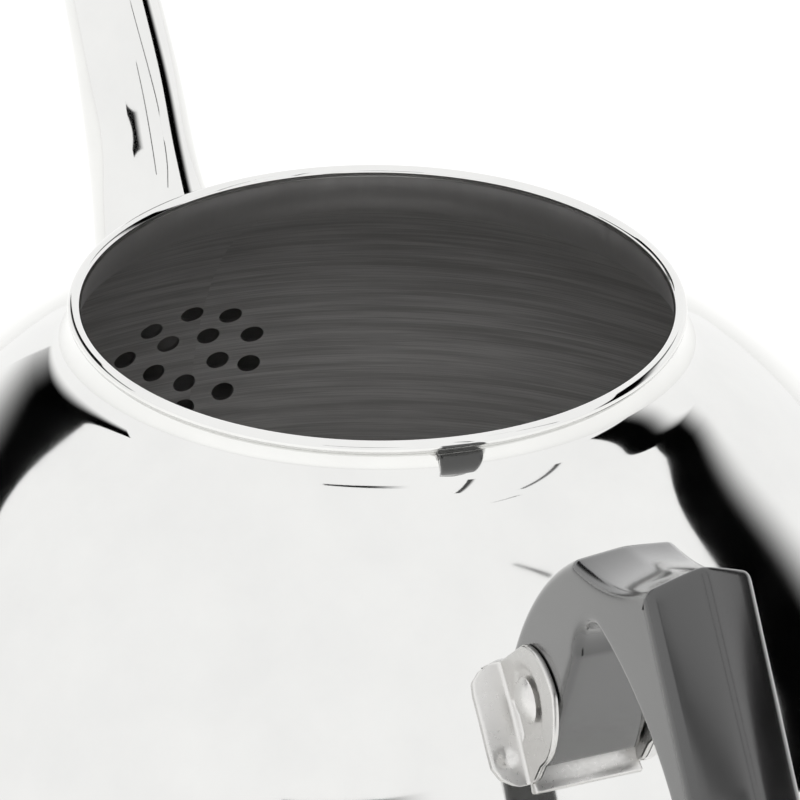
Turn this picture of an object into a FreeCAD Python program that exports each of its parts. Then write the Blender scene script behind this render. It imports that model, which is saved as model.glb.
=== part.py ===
import FreeCAD, Part
import math
import os
import Sketcher

# Stovetop whistling kettle: a dome-shaped body with an open mouth, a swan-neck spout with a
# flip-up whistle, a phenolic side handle and a lift-off lid that stands beside the body.
# Origin at the middle of the base's underside, +Z up, +X towards the spout, -X towards the handle.

doc = FreeCAD.newDocument("kettle")
sheet = doc.addObject("Spreadsheet::Sheet", "dims")

driving = {
    # body sheet, rim and neck
    "wall": 0.8,
    "rimHeight": 118.0,
    "neckRadius": 50.4,
    "beadRadius": 1.15,
    "neckDepth": 4.6,
    "neckFillet": 4.0,
    "shoulderSlope": 61.8,
    "shoulderLength": 5.7,
    "domeRadius": 92.15,
    "seamHeight": 24.0,
    "cornerRadius": 19.0,
    # strainer
    "strainerHeight": 57.5,
    "strainerTilt": 19.4,
    "strainerTurn": 1.0,
    "holeRadius": 2.3,
    "holeInner": 7.0,
    "holeOuter": 13.8,
    # base
    "coreRadius": 80.0,
    "baseHeight": 5.0,
    "capSheet": 0.8,
    # spout tip
    "tipX": 158.5,
    "tipZ": 125.5,
    "tipTilt": 45.0,
    "tipRadius": 9.4,
    # handle and its bracket
    "handleWidth": 16.4,
    "seatX": -80.4,
    "seatZ": 90.0,
    "seatTilt": -46.1,
    "bracketSheet": 1.0,
    "cheekInside": 8.3,
    "flangeReach": 14.6,
    "rivetX": -1.5,
    "rivetZ": 7.3,
    "rivetRadius": 2.0,
    "rivetHead": 3.6,
    # whistle
    "collarRadius": 10.5,
    "hingeX": -14.0,
    "hingeZ": 1.0,
    "pinRadius": 1.2,
    "pinClearance": 0.06,
    "knuckleRadius": 2.4,
    "whistleSheet": 0.6,
    "whistleRadius": 11.0,
    "whistleBottom": 0.7,
    "whistleTop": 8.0,
    "blowHole": 2.2,
    # lid, which stands beside the body
    "lidX": 44.5,
    "lidY": -166.0,
    "lidRadius": 52.4,
    "plugRadius": 48.6,
    "plugDepth": 9.0,
    "lidCrown": 18.5,
    "knobSeat": 11.0,
    "knobRadius": 16.0,
    "knobTop": 41.0,
    "screwRadius": 2.5,
}
for row, (alias, value) in enumerate(driving.items(), start=1):
    sheet.set("A%d" % row, alias)
    sheet.set("B%d" % row, str(value))
    sheet.setAlias("B%d" % row, alias)
doc.recompute()

XZ = "XZ_Plane"
XY = "XY_Plane"
nodes = {}


class Size:
    """A length or angle that carries its value and the expression that binds it to the sheet."""

    def __init__(self, value, text=None):
        self.value = float(value)
        self.text = text or repr(float(value))

    def __add__(self, other):
        return Size(self.value + size(other).value, "(%s + %s)" % (self.text, size(other).text))

    def __sub__(self, other):
        return Size(self.value - size(other).value, "(%s - %s)" % (self.text, size(other).text))

    def __mul__(self, other):
        return Size(self.value * size(other).value, "(%s * %s)" % (self.text, size(other).text))

    def __neg__(self):
        return Size(-self.value, "(0 - %s)" % self.text)


def size(value):
    return value if isinstance(value, Size) else Size(value)


def cell(alias):
    return Size(sheet.get(alias), "dims.%s" % alias)


def cosine(angle):
    return Size(math.cos(math.radians(angle.value)), "cos(%s)" % angle.text)


def sine(angle):
    return Size(math.sin(math.radians(angle.value)), "sin(%s)" % angle.text)


def leg(longest, other):
    """The third side of a right-angled triangle, from its longest side and another."""
    text = "sqrt(%s ^ 2 - %s ^ 2)" % (longest.text, other.text)
    return Size(math.sqrt(longest.value**2 - other.value**2), text)


def node(shape, label):
    shape.Label = label
    nodes[label] = shape
    return shape


def place(shape, x=0.0, y=0.0, z=0.0, axis=(0, 1, 0), turn=0.0):
    """Puts a shape in place and binds the placement to the sheet."""
    base = [size(value) for value in (x, y, z)]
    turn = size(turn)
    spin = FreeCAD.Rotation(FreeCAD.Vector(*axis), turn.value)
    shape.Placement = FreeCAD.Placement(FreeCAD.Vector(*[value.value for value in base]), spin)
    for letter, value in zip("xyz", base):
        shape.setExpression("Placement.Base." + letter, value.text)
    if turn.value:
        flip = turn if shape.Placement.Rotation.Axis.dot(FreeCAD.Vector(*axis)) > 0 else -turn
        shape.setExpression("Placement.Rotation.Angle", flip.text)
    return shape


def arc(end, radius, side):
    """A round stretch of an outline to end: side is 1 anticlockwise and -1 clockwise."""
    return (end, size(radius), side)


def roundEdge(first, last, radius, side):
    """The arc, under half a turn, from first to last."""
    chord = last - first
    middle = (first + last) * 0.5
    rise = math.sqrt(max(radius**2 - (chord.Length / 2) ** 2, 0.0))
    across = FreeCAD.Vector(-chord.y, chord.x, 0).normalize()
    centre = middle + across * (rise * side)
    circle = Part.Circle(centre, FreeCAD.Vector(0, 0, 1), radius)
    angles = [math.atan2(point.y - centre.y, point.x - centre.x) for point in (first, last)]
    return Part.ArcOfCircle(circle, *(angles if side > 0 else reversed(angles)))


def sketchOn(body, name, role, offset=0.0):
    sketch = body.newObject("Sketcher::SketchObject", name)
    plane = [part for part in body.Origin.OriginFeatures if part.Role == role][0]
    sketch.AttachmentSupport = [(plane, "")]
    sketch.MapMode = "FlatFace"
    sketch.setExpression("AttachmentOffset.Base.z", size(offset).text)
    return sketch


def bind(sketch, kind, value, *where):
    number = sketch.addConstraint(Sketcher.Constraint(kind, *where, size(value).value))
    sketch.setExpression("Constraints[%d]" % number, size(value).text)


def outline(body, name, corners, role=XZ, offset=0.0):
    """A closed sketch through the corners; a corner made by arc() is reached by a round stretch."""
    sketch = sketchOn(body, name, role, offset)
    ends = [corner[0] if len(corner) == 3 else corner for corner in corners]
    points = [FreeCAD.Vector(size(u).value, size(v).value, 0) for u, v in ends]
    starts = []
    for index, corner in enumerate(corners):
        first, last = points[index - 1], points[index]
        if len(corner) == 3:
            edge = sketch.addGeometry(roundEdge(first, last, corner[1].value, corner[2]), False)
            bind(sketch, "Radius", corner[1], edge)
            starts.append((edge, 1 if corner[2] > 0 else 2, 2 if corner[2] > 0 else 1))
        else:
            starts.append((sketch.addGeometry(Part.LineSegment(first, last), False), 1, 2))
    for index, (edge, begin, finish) in enumerate(starts):
        following = starts[(index + 1) % len(starts)]
        sketch.addConstraint(Sketcher.Constraint("Coincident", edge, finish, following[0], following[1]))
        bind(sketch, "DistanceX", ends[index][0], edge, finish)
        bind(sketch, "DistanceY", ends[index][1], edge, finish)
    return sketch


def circle(sketch, x, y, radius):
    centre = FreeCAD.Vector(size(x).value, size(y).value, 0)
    ring = Part.Circle(centre, FreeCAD.Vector(0, 0, 1), size(radius).value)
    edge = sketch.addGeometry(ring, False)
    bind(sketch, "Radius", radius, edge)
    bind(sketch, "DistanceX", x, edge, 3)
    bind(sketch, "DistanceY", y, edge, 3)


def turned(label, corners):
    """A body turned about its own Z from a half section given as radius and height."""
    body = doc.addObject("PartDesign::Body", label)
    profile = outline(body, label + "_section", corners)
    turn = body.newObject("PartDesign::Revolution", label + "_turn")
    turn.Profile = profile
    turn.ReferenceAxis = (profile, ["V_Axis"])
    turn.Angle = 360
    return body


def plate(label, corners, thickness, middle=0.0, role=XZ, holes=()):
    """A flat piece padded evenly to both sides of the level middle."""
    body = doc.addObject("PartDesign::Body", label)
    profile = outline(body, label + "_outline", corners, role, middle)
    for hole in holes:
        circle(profile, *hole)
    pad = body.newObject("PartDesign::Pad", label + "_pad")
    pad.Profile = profile
    pad.Midplane = True
    pad.setExpression("Length", size(thickness).text)
    return body


def rod(label, radius, length, x=0.0, y=0.0, z=0.0, axis=(0, 1, 0), turn=0.0):
    """A round bar that starts at x, y, z and runs along its turned Z."""
    bar = doc.addObject("Part::Cylinder", label)
    bar.setExpression("Radius", size(radius).text)
    bar.setExpression("Height", size(length).text)
    return place(bar, x, y, z, axis, turn)


def joined(label, pieces):
    whole = doc.addObject("Part::MultiFuse", label)
    whole.Shapes = pieces
    return whole


def cutFrom(label, piece, tool):
    rest = doc.addObject("Part::Cut", label)
    rest.Base = piece
    rest.Tool = tool
    return rest


def common(label, piece, tool):
    shared = doc.addObject("Part::MultiCommon", label)
    shared.Shapes = [piece, tool]
    return shared


# The dome's half section, from the rim down, shared by the shell and by what must fit its surface.

slope = cell("shoulderSlope")
neck = cell("neckRadius")
fillet = cell("neckFillet")
neckFoot = cell("rimHeight") - cell("neckDepth")
filletR = neck + fillet * (Size(1) - cosine(slope))
filletZ = neckFoot - fillet * sine(slope)
shoulderR = filletR + cell("shoulderLength") * sine(slope)
shoulderZ = filletZ - cell("shoulderLength") * cosine(slope)
domeCentreR = shoulderR - cell("domeRadius") * cosine(slope)
domeCentreZ = shoulderZ - cell("domeRadius") * sine(slope)
widest = domeCentreR + cell("domeRadius")


def domeLine(out):
    """The section from the neck down to the seam, moved outwards by out; read downwards."""
    out = size(out)
    return [
        (neck + out, neckFoot),
        arc((filletR + out * cosine(slope), filletZ + out * sine(slope)), fillet - out, 1),
        (shoulderR + out * cosine(slope), shoulderZ + out * sine(slope)),
        arc((widest + out, domeCentreZ), cell("domeRadius") + out, -1),
        (widest + out, cell("seamHeight")),
    ]


def domeLineUp(out):
    """The same section read upwards."""
    out = size(out)
    return [
        (widest + out, cell("seamHeight")),
        (widest + out, domeCentreZ),
        arc((shoulderR + out * cosine(slope), shoulderZ + out * sine(slope)), cell("domeRadius") + out, 1),
        (filletR + out * cosine(slope), filletZ + out * sine(slope)),
        arc((neck + out, neckFoot), fillet - out, -1),
    ]


def domeSolid(label, out):
    """The space inside the dome's surface moved outwards by out."""
    top = cell("rimHeight")
    return turned(label, [(0, cell("seamHeight")), (0, top), (neck + size(out), top)] + domeLine(out))


# Body shell: drawn dome, rolled rim and punched strainer.

rim = cell("rimHeight")
bead = cell("beadRadius")
inside = -cell("wall")
domeSheet = turned(
    "dome_sheet",
    [arc((neck, rim - bead), bead, -1)] + domeLine(0) + domeLineUp(inside) + [
        (neck + inside, rim - leg(bead, cell("wall"))),
        arc((neck - bead, rim), bead, -1),
        arc((neck, rim + bead), bead, -1),
        arc((neck + bead, rim), bead, -1),
    ],
)

# A punch starts inside the dome, below and behind the strainer's middle, and leans with its face.
punchLength = 14.0
punchX = 92.0
punchDrop = 2.8
firstHole = 20.0
lean = cell("strainerTilt")
punches = []
for count, ring in ((5, "holeInner"), (10, "holeOuter")):
    for step in range(count):
        angle = Size(360.0 * step / count + firstHole)
        across = cell(ring) * cosine(angle)
        along = cell(ring) * sine(angle)
        x = Size(punchX) - along * sine(lean)
        z = cell("strainerHeight") - Size(punchDrop) + along * cosine(lean)
        label = "punch_%d_%d" % (count, step)
        punches.append(rod(label, cell("holeRadius"), punchLength, x, across, z, turn=Size(90) - lean))
punchSet = joined("punch_set", punches)
place(punchSet, axis=(0, 0, 1), turn=cell("strainerTurn"))
node(cutFrom("dome_punched", domeSheet, punchSet), "body_shell")

# Base: pan seamed to the shell, aluminium core and the cap that encloses it.

seam = cell("seamHeight")
corner = cell("cornerRadius")
flat = widest - corner
under = seam - corner
node(turned("pan", [
    (0, under),
    (flat, under),
    arc((widest, seam), corner, 1),
    (widest + inside, seam),
    arc((flat, under + cell("wall")), corner + inside, -1),
    (0, under + cell("wall")),
]), "base_pan")

core = cell("coreRadius")
cap = cell("capSheet")
node(turned("core", [(0, cap), (core, cap), (core, under), (0, under)]), "base_core")
node(turned("cap", [
    (0, 0),
    (core - 1.2, 0),
    arc((core + cap, 2.0), 2.0, 1),
    (core + cap, under),
    (core, under),
    (core, cap),
    (0, cap),
]), "base_cap")

# Spout: a tapering swan neck lofted through round stations and trimmed to the dome.
# Each station is the middle of the tube, its outer radius and how far its axis has risen.

stations = [
    (92.0, 51.0, 20.0, 20.0),
    (104.5, 57.0, 18.4, 30.0),
    (116.5, 67.5, 14.6, 48.0),
    (128.5, 82.3, 11.3, 60.0),
    (136.5, 97.6, 10.4, 60.0),
    (143.2, 107.6, 9.9, 53.0),
    (150.8, 116.9, 9.5, 47.0),
]


def spoutLoft(label, inward):
    body = doc.addObject("PartDesign::Body", label)
    stops = [(Size(x), Size(z), Size(radius), Size(rise)) for x, z, radius, rise in stations]
    stops.append((cell("tipX"), cell("tipZ"), cell("tipRadius"), cell("tipTilt")))
    rings = []
    for number, (x, z, radius, rise) in enumerate(stops):
        ring = sketchOn(body, "%s_ring_%d" % (label, number), XY)
        circle(ring, 0, 0, radius - size(inward))
        ring.AttachmentOffset = FreeCAD.Placement(
            FreeCAD.Vector(x.value, 0, z.value),
            FreeCAD.Rotation(FreeCAD.Vector(0, 1, 0), 90 - rise.value),
        )
        ring.setExpression("AttachmentOffset.Base.x", x.text)
        ring.setExpression("AttachmentOffset.Base.z", z.text)
        rings.append(ring)
    loft = body.newObject("PartDesign::AdditiveLoft", label + "_loft")
    loft.Profile = rings[0]
    loft.Sections = rings[1:]
    return body


spoutOuter = spoutLoft("spout_outer", 0)
spoutBore = spoutLoft("spout_bore", cell("wall"))
spoutTube = cutFrom("spout_tube", spoutOuter, spoutBore)
node(cutFrom("spout_trimmed", spoutTube, domeSolid("dome_for_spout", 0)), "spout")

# Handle bracket: a stamped steel channel on the shoulder, in a frame of its own:
# X up the shoulder, Y across, Z out of the shoulder.

seat = {"x": cell("seatX"), "z": cell("seatZ"), "turn": cell("seatTilt")}
cheekCorners = [
    (6.2, -4.0),
    (6.2, 11.3),
    arc((-3.2, 18.2), 9.5, 1),
    arc((-11.6, 6.0), 13.5, 1),
    (-13.0, 0.0),
    (-13.0, -4.0),
]
sheetMetal = cell("bracketSheet")
cheekMiddle = cell("cheekInside") + sheetMetal * 0.5
rivetHole = [(cell("rivetX"), cell("rivetZ"), cell("rivetRadius"))]
cheeks = [plate("cheek_%d" % number, cheekCorners, sheetMetal, cheekMiddle * side, XZ, rivetHole)
          for number, side in enumerate((1, -1))]
flangeOuter = cell("flangeReach")
cheekOuter = cell("cheekInside") + sheetMetal
flangeBlank = plate("flange_blank", [
    (4.0, flangeOuter),
    (6.2, cheekOuter),
    (6.2, -cheekOuter),
    (4.0, -flangeOuter),
    (-9.5, -flangeOuter),
    (-13.0, -cheekOuter),
    (-15.0, -cheekOuter),
    (-15.0, cheekOuter),
    (-13.0, cheekOuter),
    (-9.5, flangeOuter),
], 12, 0, XY)
for blank in cheeks + [flangeBlank]:
    place(blank, **seat)
skin = cutFrom("dome_skin", domeSolid("skin_outer", 1.0), domeSolid("skin_inner", 0))
web = common("bracket_web", flangeBlank, skin)
cheekPair = cutFrom("cheeks_trimmed", joined("cheek_pair", cheeks), domeSolid("dome_for_cheeks", 0))
node(joined("bracket_whole", [cheekPair, web]), "handle_bracket")

# Handle: moulded phenolic, its outer side a low roof whose ridge runs over the top and down the grip.
# The same outline is drawn at the sides and, with its outer corners raised, at the ridge.


def handleOutline(body, name, level, topBack, topFront, gripTop, gripEnd):
    return outline(body, name, [
        (-77.6, 96.4),
        arc(topBack, 60.0, 1),
        arc(topFront, 46.0, -1),
        gripTop,
        arc(gripEnd, 81.0, 1),
        arc((-149.4, 52.6), 4.8, 1),
        arc((-133.0, 105.8), 76.0, -1),
        arc((-107.5, 118.6), 47.0, -1),
        arc((-100.6, 109.4), 9.5, -1),
        (-90.6, 84.0),
        (-89.4, 83.6),
    ], XZ, level)


handle = doc.addObject("PartDesign::Body", "grip")
halfWidth = cell("handleWidth") * 0.5
sideShape = ((-98.3, 124.6), (-122.4, 133.2), (-140.0, 109.2), (-156.9, 54.4))
ridgeShape = ((-98.6, 125.6), (-123.3, 136.2), (-143.4, 110.7), (-158.2, 54.4))
handleSections = [
    handleOutline(handle, "side_near", halfWidth, *sideShape),
    handleOutline(handle, "ridge", 0, *ridgeShape),
    handleOutline(handle, "side_far", -halfWidth, *sideShape),
]
gripLoft = handle.newObject("PartDesign::AdditiveLoft", "grip_loft")
gripLoft.Profile = handleSections[0]
gripLoft.Sections = handleSections[1:]
gripLoft.Ruled = True


def framePoint(frame, x, z):
    """Where the point x, z of a frame turned about Y lies in the kettle's own X and Z."""
    turn = frame["turn"]
    right = frame["x"] + size(x) * cosine(turn) + size(z) * sine(turn)
    up = frame["z"] - size(x) * sine(turn) + size(z) * cosine(turn)
    return right, up


def crossRod(label, frame, x, z, radius, length):
    """A round bar along Y, centred on the point x, z of the frame."""
    right, up = framePoint(frame, x, z)
    return rod(label, radius, length, right, size(length) * -0.5, up, (1, 0, 0), -90)


def capRadius(half, rise):
    """The radius of a round cap of that half width and rise."""
    half, rise = size(half), size(rise)
    text = "((%s ^ 2 + %s ^ 2) / (2 * %s))" % (half.text, rise.text, rise.text)
    return Size((half.value**2 + rise.value**2) / (2 * rise.value), text)


def rivet(label, shank, grip, head, crown):
    """A rivet along Z with a domed head beyond each end of its grip."""
    half = size(grip) * 0.5
    bulge = capRadius(head, crown)
    return turned(label, [
        (0, -half - crown),
        arc((head, -half), bulge, 1),
        (shank, -half),
        (shank, half),
        (head, half),
        arc((0, half + crown), bulge, 1),
    ])


rivetBore = crossRod("rivet_bore", seat, cell("rivetX"), cell("rivetZ"), cell("rivetRadius"), 40)
node(cutFrom("grip_bored", handle, rivetBore), "handle_grip")
handleRivet = rivet("through_rivet", cell("rivetRadius"), cheekOuter * 2, cell("rivetHead"), 1.6)
rivetSpot = framePoint(seat, cell("rivetX"), cell("rivetZ"))
place(handleRivet, rivetSpot[0], 0, rivetSpot[1], (1, 0, 0), -90)
node(handleRivet, "handle_rivet")

# Whistle, in the frame of the spout's tip: Z out of the spout, X towards the front of the tip.

tip = {"x": cell("tipX"), "z": cell("tipZ"), "turn": Size(90) - cell("tipTilt")}
hingeX = cell("hingeX")
hingeZ = cell("hingeZ")
pin = cell("pinRadius")
knuckle = cell("knuckleRadius")
loose = pin + cell("pinClearance")
tin = cell("whistleSheet")
top = cell("whistleTop")
rimR = cell("whistleRadius")
bottom = cell("whistleBottom")
clasp = cell("tipRadius") + 0.3

collarRing = turned("collar_ring", [
    (clasp, -8.0),
    (cell("collarRadius"), -8.0),
    (cell("collarRadius"), -2.0),
    (clasp, -2.0),
])
earCorners = [
    (-8.3, -2.2),
    (hingeX + knuckle, hingeZ),
    arc((hingeX, hingeZ + knuckle), knuckle, 1),
    arc((hingeX - knuckle, hingeZ), knuckle, 1),
    (-8.3, -7.6),
]
ears = [plate("ear_%d" % number, earCorners, 1.0, Size(5.6) * side, XZ, [(hingeX, hingeZ, pin)])
        for number, side in enumerate((1, -1))]
node(place(joined("collar_whole", [collarRing] + ears), **tip), "whistle_collar")

node(crossRod("pin_bar", tip, hingeX, hingeZ, pin, 13.4), "hinge_pin")

springInner = loose + 0.1
coil = cutFrom("coil_sleeve", rod("coil_outer", knuckle - 0.3, 5.0), rod("coil_inner", springInner, 5.0))
springSpot = framePoint(tip, hingeX, hingeZ)
node(place(coil, springSpot[0], -2.5, springSpot[1], (1, 0, 0), -90), "hinge_spring")

cup = turned("cup", [
    (rimR - tin, bottom),
    (rimR, bottom),
    (rimR, top - 1.5),
    arc((rimR - 1.5, top), 1.5, 1),
    (5.0, top),
    (5.0, top - tin),
    (rimR - 1.5, top - tin),
    arc((rimR - tin, top - 1.5), 0.9, -1),
])
tabCorners = [
    (-9.95, 4.6),
    (hingeX, hingeZ + knuckle),
    arc((hingeX - knuckle, hingeZ), knuckle, 1),
    arc((hingeX, hingeZ - knuckle), knuckle, 1),
    (-9.95, 1.6),
]
tabs = [plate("tab_%d" % number, tabCorners, 1.2, Size(3.8) * side, XZ, [(hingeX, hingeZ, loose)])
        for number, side in enumerate((1, -1))]
leverRivetX = Size(-7.5)
leverRivetY = Size(3.0)
leverRivetR = Size(0.8)
topHoles = joined("lever_rivet_holes", [
    rod("lever_hole_%d" % number, leverRivetR, 12, leverRivetX, leverRivetY * side, 2.0)
    for number, side in enumerate((1, -1))
])
cupBored = cutFrom("cup_bored", cup, topHoles)
node(place(joined("cup_whole", [cupBored] + tabs), **tip), "whistle_cap")

discR = rimR - tin
for label, low in (("inner_disc", 3.4), ("outer_disc", 5.8)):
    disc = turned(label, [
        (cell("blowHole"), low),
        (discR, low),
        (discR, size(low) + tin),
        (cell("blowHole"), size(low) + tin),
    ])
    node(place(disc, **tip), "whistle_" + label)

arm = plate("lever_arm", [
    (-4.5, top),
    (-4.5, top + 1.0),
    (-20.0, top + 1.0),
    (-27.0, top + 4.0),
    (-27.0, top + 3.0),
    (-20.0, top),
], 10.0)
node(place(cutFrom("arm_bored", arm, topHoles), **tip), "whistle_lever")
pad = plate("thumb_pad", [
    (-17.5, top + 1.0),
    (-17.5, top + 2.2),
    arc((-30.0, top + 8.6), 16.0, -1),
    arc((-30.6, top + 1.6), 4.2, 1),
    arc((-20.6, top - 1.6), 14.0, 1),
    (-17.5, top),
    (-20.0, top),
    (-27.0, top + 3.0),
    (-27.0, top + 4.0),
    (-20.0, top + 1.0),
], 15.0)
node(place(pad, **tip), "thumb_pad")

leverRivets = []
for number, side in enumerate((1, -1)):
    small = rivet("lever_rivet_%d" % number, leverRivetR, tin + 1.0, Size(1.5), 0.7)
    leverRivets.append(place(small, leverRivetX, leverRivetY * side, top + (Size(1.0) - tin) * 0.5))
node(place(joined("lever_rivet_pair", leverRivets), **tip), "lever_rivets")

# Lid: a shallow dome on a plug ring, with its knob, standing on the same level as the base.

lidSheet = cell("wall")
crown = cell("lidCrown")
brim = cell("plugDepth")
screw = cell("screwRadius")
seatR = cell("knobSeat")
plug = cell("plugRadius")
lidR = cell("lidRadius")
knobBase = crown + 1.2
knobFlat = cell("knobRadius") - 1.6
knobShoulder = knobBase + 17.5
screwHead = Size(4.6)
screwCrown = Size(2.6)

lidPieces = {
    "lid_plug": [
        (plug - lidSheet, 0),
        (plug, 0),
        (plug, brim),
        (plug - 5.0, brim),
        (plug - 5.0, brim - lidSheet),
        (plug - lidSheet, brim - lidSheet),
    ],
    "lid_shell": [
        (plug - 6.0, brim),
        (lidR, brim),
        arc((lidR, brim + 1.8), 0.95, 1),
        (plug - 2.0, brim + lidSheet + 0.2),
        arc((seatR, crown), 96.0, 1),
        (screw, crown),
        (screw, crown - lidSheet),
        (seatR, crown - lidSheet),
        arc((plug - 6.0, brim + 0.6), 90.0, -1),
    ],
    "knob_ferrule": [
        (screw, crown),
        (seatR, crown),
        (seatR, crown + 0.6),
        (seatR - 1.6, knobBase),
        (screw, knobBase),
    ],
    "lid_knob": [
        (screw, knobBase),
        (seatR - 2.4, knobBase),
        arc((seatR - 2.0, knobBase + 7.0), 9.0, -1),
        arc((cell("knobRadius"), knobBase + 13.5), 10.0, -1),
        arc((knobFlat, knobShoulder), 2.6, 1),
        arc((0, cell("knobTop")), capRadius(knobFlat, cell("knobTop") - knobShoulder), 1),
        (0, knobBase + 12.0),
        (screw, knobBase + 12.0),
    ],
    "knob_washer": [
        (screw, crown - lidSheet - 0.9),
        (5.5, crown - lidSheet - 0.9),
        (5.5, crown - lidSheet),
        (screw, crown - lidSheet),
    ],
    "knob_screw": [
        (0, crown - lidSheet - 0.9 - screwCrown),
        arc((screwHead, crown - lidSheet - 0.9), capRadius(screwHead, screwCrown), 1),
        (screw, crown - lidSheet - 0.9),
        (screw, knobBase + 12.0),
        (0, knobBase + 12.0),
    ],
}
for label, corners in lidPieces.items():
    node(place(turned(label + "_turned", corners), cell("lidX"), cell("lidY")), label)

# Every piece is checked before any is written.

doc.recompute()
for item in doc.Objects:
    if "Invalid" in item.State or "Error" in item.State:
        raise RuntimeError("%s did not build: %s" % (item.Label, item.State))
for label, piece in nodes.items():
    if piece.Shape.isNull() or not piece.Shape.isValid():
        raise RuntimeError("%s has no valid shape" % label)

os.makedirs("parts", exist_ok=True)
for label, piece in nodes.items():
    piece.Shape.exportStep("parts/%s.step" % label)
    print("%-18s %9.1f mm3  %d solid(s)" % (label, piece.Shape.Volume, len(piece.Shape.Solids)))
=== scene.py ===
import math
import bmesh
import bpy
import numpy as np
from mathutils import Matrix, Vector


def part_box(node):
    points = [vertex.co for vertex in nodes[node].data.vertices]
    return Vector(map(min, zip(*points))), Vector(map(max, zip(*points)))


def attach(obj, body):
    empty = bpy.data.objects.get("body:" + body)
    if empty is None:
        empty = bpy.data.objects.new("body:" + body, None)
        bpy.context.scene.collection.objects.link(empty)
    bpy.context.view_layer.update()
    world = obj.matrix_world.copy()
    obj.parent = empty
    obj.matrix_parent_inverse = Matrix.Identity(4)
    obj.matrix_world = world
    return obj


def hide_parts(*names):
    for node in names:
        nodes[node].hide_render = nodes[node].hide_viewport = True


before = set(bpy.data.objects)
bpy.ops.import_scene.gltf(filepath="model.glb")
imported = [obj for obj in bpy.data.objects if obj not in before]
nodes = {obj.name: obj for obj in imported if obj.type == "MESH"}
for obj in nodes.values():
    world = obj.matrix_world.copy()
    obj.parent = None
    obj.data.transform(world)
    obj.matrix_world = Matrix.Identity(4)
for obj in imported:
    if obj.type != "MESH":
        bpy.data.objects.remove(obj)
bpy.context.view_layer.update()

# A stovetop whistling kettle: mirror-polished steel body with an open mouth, swan-neck spout with a
# flip-up whistle, black phenolic side handle on a stamped bracket, and its lid standing beside it.
# Metres throughout; mm turns millimetres into them.

mm = 0.001


def hexColour(code):
    channels = [int(code[place:place + 2], 16) / 255 for place in (1, 3, 5)]
    linear = [c / 12.92 if c <= 0.04045 else ((c + 0.055) / 1.055) ** 2.4 for c in channels]
    return (*linear, 1.0)


def addNode(tree, kind, settings=None, inputs=None):
    node = tree.nodes.new(kind)
    for name, value in (settings or {}).items():
        setattr(node, name, value)
    for name, value in (inputs or {}).items():
        if isinstance(value, bpy.types.NodeSocket):
            tree.links.new(value, node.inputs[name])
        else:
            node.inputs[name].default_value = value
    return node


# Outlines: lists of flat points, a corner made by arcTo() is reached by a round stretch

def arcTo(end, radius, side):
    return (end, radius, side)  # side 1 runs anticlockwise, -1 clockwise


def traced(corners, turnStep=4.0):
    ends = [corner[0] if len(corner) == 3 else corner for corner in corners]
    points = []
    for index, corner in enumerate(corners):
        last = np.array(ends[index], float)
        if len(corner) == 3:
            first = np.array(ends[index - 1], float)
            radius, side = corner[1:]
            chord = last - first
            half = np.linalg.norm(chord) / 2
            across = np.array([-chord[1], chord[0]]) / (2 * half)
            centre = (first + last) / 2 + across * side * math.sqrt(max(radius**2 - half**2, 0))
            sweep = 2 * math.asin(min(half / radius, 1.0)) * side
            begin = math.atan2(*(first - centre)[::-1])
            steps = max(2, math.ceil(abs(math.degrees(sweep)) / turnStep))
            for step in range(1, steps):
                angle = begin + sweep * step / steps
                points.append(centre + radius * np.array([math.cos(angle), math.sin(angle)]))
        points.append(last)
    return np.array(points)


def areaOf(points):
    following = np.roll(points, -1, axis=0)
    return float(np.sum(points[:, 0] * following[:, 1] - following[:, 0] * points[:, 1]) / 2)


def inwardNormals(points):
    ahead = np.roll(points, -1, axis=0) - points
    ahead /= np.linalg.norm(ahead, axis=1)[:, None]
    behind = np.roll(ahead, 1, axis=0)
    left = np.stack([-(ahead + behind)[:, 1], (ahead + behind)[:, 0]], axis=1)
    left /= np.linalg.norm(left, axis=1)[:, None]
    square = np.stack([-ahead[:, 1], ahead[:, 0]], axis=1)
    return left / np.maximum(np.sum(left * square, axis=1), 0.5)[:, None]


def smoothThrough(stops, count):
    # a natural cubic spline through rows of numbers, spaced by the distance between the first two columns
    stops = np.array(stops, float)
    gaps = np.linalg.norm(np.diff(stops[:, :2], axis=0), axis=1)
    along = np.concatenate([[0], np.cumsum(gaps)])
    total = len(stops)
    system = np.eye(total)
    known = np.zeros_like(stops)
    for row in range(1, total - 1):
        system[row, row - 1:row + 2] = gaps[row - 1], 2 * (gaps[row - 1] + gaps[row]), gaps[row]
        slopes = (stops[row + 1] - stops[row]) / gaps[row], (stops[row] - stops[row - 1]) / gaps[row - 1]
        known[row] = 6 * (slopes[0] - slopes[1])
    bend = np.linalg.solve(system, known)
    result = []
    for place in np.linspace(0, along[-1], count):
        span = min(int(np.searchsorted(along, place, side="right")) - 1, total - 2)
        width = gaps[span]
        after = (place - along[span]) / width
        before = 1 - after
        curve = (before**3 - before) * bend[span] + (after**3 - after) * bend[span + 1]
        result.append(before * stops[span] + after * stops[span + 1] + width**2 / 6 * curve)
    return np.array(result)


# Meshes

def meshObject(name, vertices, faces):
    mesh = bpy.data.meshes.new(name)
    mesh.from_pydata([tuple(v) for v in vertices], [], faces)
    mesh.validate()
    thing = bpy.data.objects.new(name, mesh)
    bpy.context.scene.collection.objects.link(thing)
    return thing


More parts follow.
